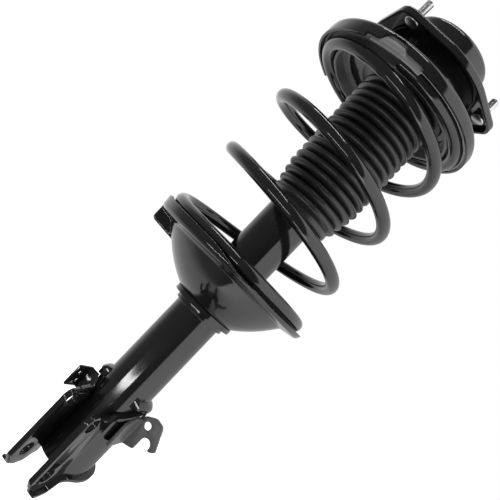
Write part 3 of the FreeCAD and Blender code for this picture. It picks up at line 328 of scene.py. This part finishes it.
# %% [markdown]
# ## Coil spring
# The spring is round wire wound left-handed: it falls as the turn angle grows. Its top turn lies flat in
# the leaning upper seat, and its last turn climbs the ramp of the lower seat. A ring of points is carried
# along that line.

# %% Spring
def wire_height(angle):
    fall = 0.0
    for (a0, p0), (a1, p1) in zip(leads, leads[1:]):
        span = min(max(angle - a0, 0.0), a1 - a0)
        here = p0 + (p1 - p0) * span / (a1 - a0)
        fall += (p0 + here) / 2 * span / 360
    share = min(max((lean_fades_at - angle) / (lean_fades_at - leads[1][0]), 0.0), 1.0)
    turn = math.radians(angle)
    x, y = spring_x + coil_r * math.cos(turn), spring_y + coil_r * math.sin(turn)
    return coil_top_z - fall + share * lean_height(x, y)


def wire_point(angle):
    turn = math.radians(angle)
    x, y = spring_x + coil_r * math.cos(turn), spring_y + coil_r * math.sin(turn)
    return Vector((x, y, wire_height(angle)))


def coil_mesh(step=3.0, around=32, end_bevel=0.8):
    bm = bmesh.new()
    count = int((coil_end - coil_start) / step)
    stations = [(coil_start + 0.02, wire_r - end_bevel)]
    stations += [(coil_start + (coil_end - coil_start) * i / count, wire_r) for i in range(count + 1)]
    stations.append((coil_end - 0.02, wire_r - end_bevel))
    stations[1] = (coil_start + 0.55, wire_r)
    stations[-2] = (coil_end - 0.55, wire_r)
    rings = []
    for angle, radius in stations:
        centre = wire_point(angle)
        along = (wire_point(angle + 0.1) - wire_point(angle - 0.1)).normalized()
        outward = Vector((math.cos(math.radians(angle)), math.sin(math.radians(angle)), 0))
        lift = along.cross(outward).normalized()
        outward = lift.cross(along).normalized()
        ring = []
        for k in range(around):
            turn = 2 * math.pi * k / around
            spoke = outward * math.cos(turn) + lift * math.sin(turn)
            ring.append(bm.verts.new((centre + spoke * radius) * MM))
        rings.append(ring)
    for a, b in zip(rings, rings[1:]):
        for k in range(around):
            bm.faces.new((a[k], a[(k + 1) % around], b[(k + 1) % around], b[k]))
    bm.faces.new(rings[0])
    bm.faces.new(list(reversed(rings[-1])))
    bmesh.ops.recalc_face_normals(bm, faces=bm.faces)
    return bm


spring = dress("spring_wire", coil_mesh(), "rod_assembly", "black_gloss_paint", ["coil_spring"])
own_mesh(spring)

# %% [markdown]
# ## Dust boot
# The boot is a blow-moulded bellows. Its ribs are round at the crest and at the trough, it narrows over
# the last ribs, and it ends in a plain cuff. The profile is walked once down the outside and once back
# up the inside, so the boot has a wall when it is seen from below.

# %% Boot
boot_trough_r, boot_crest_r, boot_wall = 37.3, 43.3, 1.4
boot_pitch, boot_ribs, boot_neck = 9.03, 16, 3.1
boot_top, boot_flange_r, boot_flange_t, boot_flange_edge = -41.1, 50.0, 2.2, 0.6
boot_end_shrink, boot_shrink_ribs, trough_shrink_share = 5.0, 3, 0.6
rib_fullness = 0.75
cuff_r, cuff_h, cuff_bead, cuff_bend, cuff_edge = 33.6, 7.2, 0.5, 0.8, 1.2
boot_x, boot_y, boot_drift_x, boot_drift_y = 1.1, 0.4, 2.6, 0.9
boot_first = boot_top - boot_neck
boot_last = boot_first - boot_ribs * boot_pitch
boot_bottom = boot_last - cuff_h


def boot_axis(z):
    share = (boot_top - z) / (boot_top - boot_bottom)
    return boot_x + boot_drift_x * share, boot_y + boot_drift_y * share


def boot_outline(inset, per_rib=14):
    points = []
    for i in range(boot_ribs):
        shrink = boot_end_shrink * max(0, i - (boot_ribs - 1 - boot_shrink_ribs)) / boot_shrink_ribs
        trough = boot_trough_r - trough_shrink_share * shrink
        crest = boot_crest_r - shrink
        for k in range(per_rib):
            share = k / per_rib
            swell = max(math.sin(math.pi * share), 0.0) ** rib_fullness
            rib_r = trough + (crest - trough) * swell
            points.append((rib_r - inset, boot_first - (i + share) * boot_pitch))
    bead_r = cuff_r + cuff_bead - inset
    points += [(cuff_r - inset, boot_last - cuff_bend), (bead_r, boot_last - 2 * cuff_bend),
               (bead_r, boot_bottom + cuff_edge), (cuff_r - inset, boot_bottom)]
    return points


boot = bmesh.new()
outside = [(boot_trough_r, boot_top - boot_flange_t)] + boot_outline(0.0)
inside = list(reversed(boot_outline(boot_wall))) + [(boot_trough_r - boot_wall, boot_top - boot_flange_t)]
lathe(boot, outside + inside, boot_axis, 160)
flange_low, flange_in_r = boot_top - boot_flange_t, boot_trough_r - boot_wall
flange = [(flange_in_r, flange_low), (boot_flange_r - boot_flange_edge, flange_low),
          (boot_flange_r, flange_low + boot_flange_edge), (boot_flange_r, boot_top - boot_flange_edge),
          (boot_flange_r - boot_flange_edge, boot_top), (flange_in_r, boot_top)]
lathe(boot, flange, lambda z: (0.0, 0.0), 160, True, leaning(pan_top))
dress("ribbed_boot", boot, "rod_assembly", "black_rubber", ["dust_boot"], 70.0)

# %% [markdown]
# ## Rubber seats
# The insulator and the lower strip are moulded rubber. Their solids have knife edges, so each one is
# copied, remeshed with small voxels and relaxed a little, which rounds every edge at once.

# %% Rubber
def moulded(name, voxel, relax):
    """Soft copy of a CAD solid: remeshed, relaxed, in the solid's place."""
    node = nodes[name]
    piece = bpy.data.objects.new(name + "_moulded", node.data.copy())
    bpy.context.scene.collection.objects.link(piece)
    weld = piece.modifiers.new("weld", "WELD")
    weld.merge_threshold = 2e-6
    remesh = piece.modifiers.new("remesh", "REMESH")
    remesh.mode = "VOXEL"
    remesh.voxel_size = voxel * MM
    smooth = piece.modifiers.new("relax", "SMOOTH")
    smooth.factor = 0.5
    smooth.iterations = relax
    shaped = bpy.data.meshes.new_from_object(piece.evaluated_get(bpy.context.evaluated_depsgraph_get()))
    bpy.data.objects.remove(piece)
    bm = bmesh.new()
    bm.from_mesh(shaped)
    return dress(name + "_moulded", bm, node["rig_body"], slots[name], [name], 80.0)


moulded("upper_spring_insulator", 0.8, 3)
moulded("lower_spring_pad", 0.6, 3)

# %% [markdown]
# ## Dust cap and studs
# The cap is a turned rubber plug. Each stud is a turned bolt whose thread is a fine zigzag: at this size
# the ridges catch the light as rings, and a true helix would look the same. At its foot each stud steps
# out to a wider shank, which is pressed through the plate.

# %% Cap and studs
dome_h, cap_gap = 30.0, 0.05
cap_r, cap_top_r, cap_t, cap_top_bend = 24.0, 22.0, 3.0, 3.0
cap_plug_r, cap_plug_in_r, cap_plug_depth, cap_bend = 19.9, 17.9, 3.4, 0.4
cap_low, cap_high, plug_low = dome_h + cap_gap, dome_h + cap_gap + cap_t, dome_h - cap_plug_depth
cap = bmesh.new()
cap_profile = rounded([(0.0, cap_high), (cap_top_r, cap_high, cap_top_bend), (cap_r, cap_low, cap_bend),
                       (cap_plug_r, cap_low), (cap_plug_r, plug_low, cap_bend),
                       (cap_plug_in_r, plug_low, cap_bend), (cap_plug_in_r, cap_low), (0.0, cap_low)])
lathe(cap, cap_profile, count=96, move=leaning(0.0))
dress("mount_cap", cap, "top_mount", "black_rubber", ["dust_cap"])

stud_circle_r, stud_clock, stud_r, stud_top = 66.5, 9.3, 4.0, 20.8
thread_pitch, thread_depth, thread_low = 1.25, 0.55, 2.5
shank_r, head_r, head_t, plate_t = 4.4, 7.5, 3.6, 3.0


def stud_profile():
    profile = [(0.0, stud_top), (stud_r - 1.0, stud_top), (stud_r - 0.1, stud_top - 0.9)]
    z = stud_top - 1.0
    while z - thread_pitch > thread_low:
        profile += [(stud_r, z), (stud_r, z - 0.15), (stud_r - thread_depth, z - 0.55),
                    (stud_r - thread_depth, z - 0.75)]
        z -= thread_pitch
    head_low = -plate_t - head_t
    shank = [(stud_r - 0.1, z), (stud_r, z - 0.3), (stud_r, 0.0), (shank_r, 0.0), (shank_r, -plate_t)]
    domed_head = [(head_r - 0.1, -plate_t), (head_r, -plate_t - 0.2), (head_r, head_low + 1.6),
                  (head_r - 0.5, head_low + 0.6), (head_r - 1.7, head_low), (0.0, head_low)]
    return profile + shank + domed_head


studs = bmesh.new()
for i in range(3):
    turn = math.radians(stud_clock + 120 * i)
    place = (stud_circle_r * math.cos(turn), stud_circle_r * math.sin(turn))
    lathe(studs, stud_profile(), lambda z: place, 40, False, leaning(0.0))
dress("threaded_studs", studs, "top_mount", "zinc_plate", ["mount_studs"], 60.0)

# %% [markdown]
# ## Pressed steel
# The plate, dome, cups, seats and brackets are sheet metal. Their solids have the right shape, so each
# one is only copied and given the small round edge that pressing and paint leave.

# %% Sheet metal
for name, width in (("mount_plate", 0.5), ("mount_housing", 0.4), ("mount_lower_cup", 0.4),
                    ("upper_spring_seat", 0.5), ("knuckle_bracket", 0.5), ("ear_stiffener_left", 0.3),
                    ("ear_stiffener_right", 0.3), ("hose_bracket", 0.5), ("wire_bracket", 0.3),
                    ("seat_collar", 0.4)):
    pressed(name, width)
moulded("lower_spring_seat", 1.0, 8)

# %% [markdown]
# ## Camera
# The photograph looks from a little below the middle of the strut, slightly up, and is rolled so that the
# strut lies corner to corner.

# %% Camera
view_turn = math.radians(20)
camera_distance, camera_shift, camera_height = 0.566, 0.0066, -0.2746
camera_tilt = math.radians(2.46)
camera_roll = math.radians(43.75)
to_right = Vector((math.cos(view_turn), math.sin(view_turn), 0))
to_camera = Vector((math.sin(view_turn), -math.cos(view_turn), 0))
look = -to_camera * math.cos(camera_tilt) + UP * math.sin(camera_tilt)
head = UP * math.cos(camera_tilt) + to_camera * math.sin(camera_tilt)
axes = Matrix((look.cross(head), head, -look)).transposed() @ Matrix.Rotation(camera_roll, 3, "Z")
camera_data = bpy.data.cameras.new("camera")
camera_data.lens = 41.94
camera_data.sensor_width = 36.0
camera_data.clip_start = 0.01
camera = bpy.data.objects.new("camera", camera_data)
camera.matrix_world = (Matrix.Translation(to_camera * camera_distance - to_right * camera_shift
                                          + UP * camera_height) @ axes.to_4x4())
bpy.context.scene.collection.objects.link(camera)
bpy.context.scene.camera = camera
print("camera at", [round(v, 3) for v in camera.location])

# %% [markdown]
# ## Studio
# Black gloss paint shows its surroundings more than itself. The strut stands in a tent: a wide bright
# panel on the right gives the broad grey band with its crisp edge, the near left is dark, and the pale
# wall behind gives the bright rims, where the paint is seen at a grazing angle. Two thin strip lights add
# the white lines on the spring, and a small light from below reaches the bracket. The floor is for the
# camera alone, so that the paint reflects the tent and not the floor.

# %% Lights, backdrop and floor
def soft_box(name, place, width, height, radiance):
    """Rectangular light that faces the strut's axis; the camera doesn't see it."""
    data = bpy.data.lights.new(name, "AREA")
    data.shape = "RECTANGLE"
    data.size = width
    data.size_y = height
    data.energy = radiance * width * height * math.pi
    light = bpy.data.objects.new(name, data)
    aim = Vector((0, 0, place.z * 0.5 - 0.14)) - place
    light.matrix_world = Matrix.Translation(place) @ aim.to_track_quat("-Z", "Y").to_matrix().to_4x4()
    light.visible_camera = False
    bpy.context.scene.collection.objects.link(light)
    return light


def from_strut(azimuth, elevation, distance):
    """Place round the strut's middle; azimuth 0 is the camera's side and grows to its right."""
    turn, rise = math.radians(azimuth), math.radians(elevation)
    level = to_camera * math.cos(turn) + to_right * math.sin(turn)
    return UP * -0.27 + (level * math.cos(rise) + UP * math.sin(rise)) * distance


soft_box("strip above", from_strut(-47, 68, 1.0), 0.75, 0.05, 26.0)
soft_box("strip below", from_strut(-22, -28, 0.6), 0.4, 0.03, 22.0)
soft_box("bracket light", from_strut(24, -52, 0.7), 0.3, 0.12, 5.0)

world = bpy.data.worlds.new("studio")
bpy.context.scene.world = world
world.use_nodes = True
sky = Finish(world.node_tree)
direction = sky.add("ShaderNodeTexCoord", {}, {}, 0)
sideways = sky.add("ShaderNodeVectorMath", {"operation": "DOT_PRODUCT"},
                   {0: direction, 1: tuple(to_right)}, 1)
nearward = sky.add("ShaderNodeVectorMath", {"operation": "DOT_PRODUCT"},
                   {0: direction, 1: tuple(to_camera)}, 1)
azimuth = sky.add("ShaderNodeMath", {"operation": "ARCTAN2"}, {0: sideways, 1: nearward})
panels = [(-180, 0.3), (-165, 0.45), (-125, 0.5), (-95, 0.16), (-20, 0.1), (33, 0.03), (36, 1.0),
          (70, 0.95), (110, 0.6), (150, 0.32), (180, 0.3)]
tent = sky.add("ShaderNodeValToRGB", {"stops": [((turn + 180) / 360, shade) for turn, shade in panels]},
               {"Fac": azimuth * (0.5 / math.pi) + 0.5})
tent_strength = 2.1
glow = tent * tent_strength
seen = sky.add("ShaderNodeLightPath", {}, {}, 0)
backdrop = world.node_tree.nodes["Background"]
sky.feed(backdrop, {"Color": (1, 1, 1, 1), "Strength": glow + (1 - glow) * seen})
print("tent panels", len(panels))

floor_half, floor_drop = 0.45, 0.03
floor_mesh = bpy.data.meshes.new("floor")
floor_bm = bmesh.new()
bmesh.ops.create_grid(floor_bm, x_segments=2, y_segments=2, size=floor_half)
floor_bm.to_mesh(floor_mesh)
floor_bm.free()
floor = bpy.data.objects.new("floor", floor_mesh)
floor.location.z = cad_low.z - floor_drop
bpy.context.scene.collection.objects.link(floor)
floor_material = bpy.data.materials.new("pale floor")
floor_material.use_nodes = True
floor_finish = Finish(floor_material.node_tree)
floor_seen = floor_finish.add("ShaderNodeLightPath", {}, {}, 0)
floor_finish.feed(floor_material.node_tree.nodes["Principled BSDF"],
                  {"Base Color": (0.8, 0.8, 0.8, 1), "Roughness": 0.9, "Emission Strength": 1.0,
                   "Emission Color": floor_finish.mix(floor_seen, grey(0.6), grey(1.1))})
floor_mesh.materials.append(floor_material)
floor.visible_glossy = False
floor.visible_diffuse = False
bpy.context.scene.view_settings.view_transform = "Standard"
print("studio ready")
